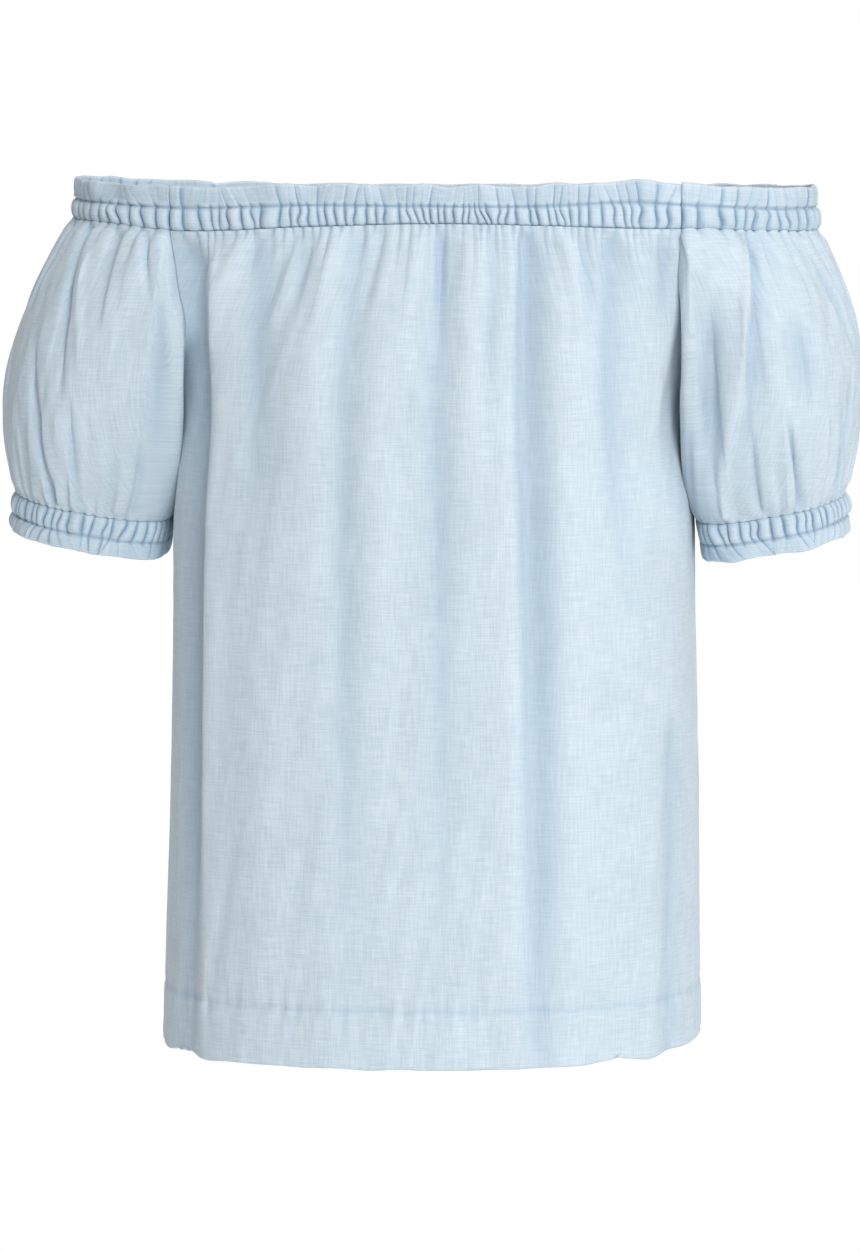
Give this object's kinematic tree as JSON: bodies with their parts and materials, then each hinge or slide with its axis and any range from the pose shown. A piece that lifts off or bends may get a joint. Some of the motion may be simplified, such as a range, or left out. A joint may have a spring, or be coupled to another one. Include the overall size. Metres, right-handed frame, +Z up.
{
  "type": "off-shoulder top",
  "caption": "Off-shoulder blouse with a straight elastic neckline, standing frill, short puffed raglan sleeves and a boxy hemmed body, filled out and hollow.",
  "frame": {"origin": "middle of the neck opening at half the height of its elastic casing, where the wearer holds the blouse up", "axes": "+Z up, the front faces -Y, +X is the wearer's left; the smallest overall size is front to back, along Y"},
  "size_m": [0.4942, 0.2531, 0.4959],
  "materials": {
    "chambray": "soft dry plain-weave chambray, light blue with white crossing threads",
    "chambray_gathered": "the same chambray, gathered and stitched over elastic"
  },
  "bodies": {
    "root": {"front_panel": "chambray", "back_panel": "chambray", "sleeve_left": "chambray", "sleeve_right": "chambray", "neck_casing_front": "chambray_gathered", "neck_casing_left": "chambray_gathered", "neck_casing_back": "chambray_gathered", "neck_casing_right": "chambray_gathered", "cuff_casing_left": "chambray_gathered", "cuff_casing_right": "chambray_gathered"}
  },
  "joints": []
}
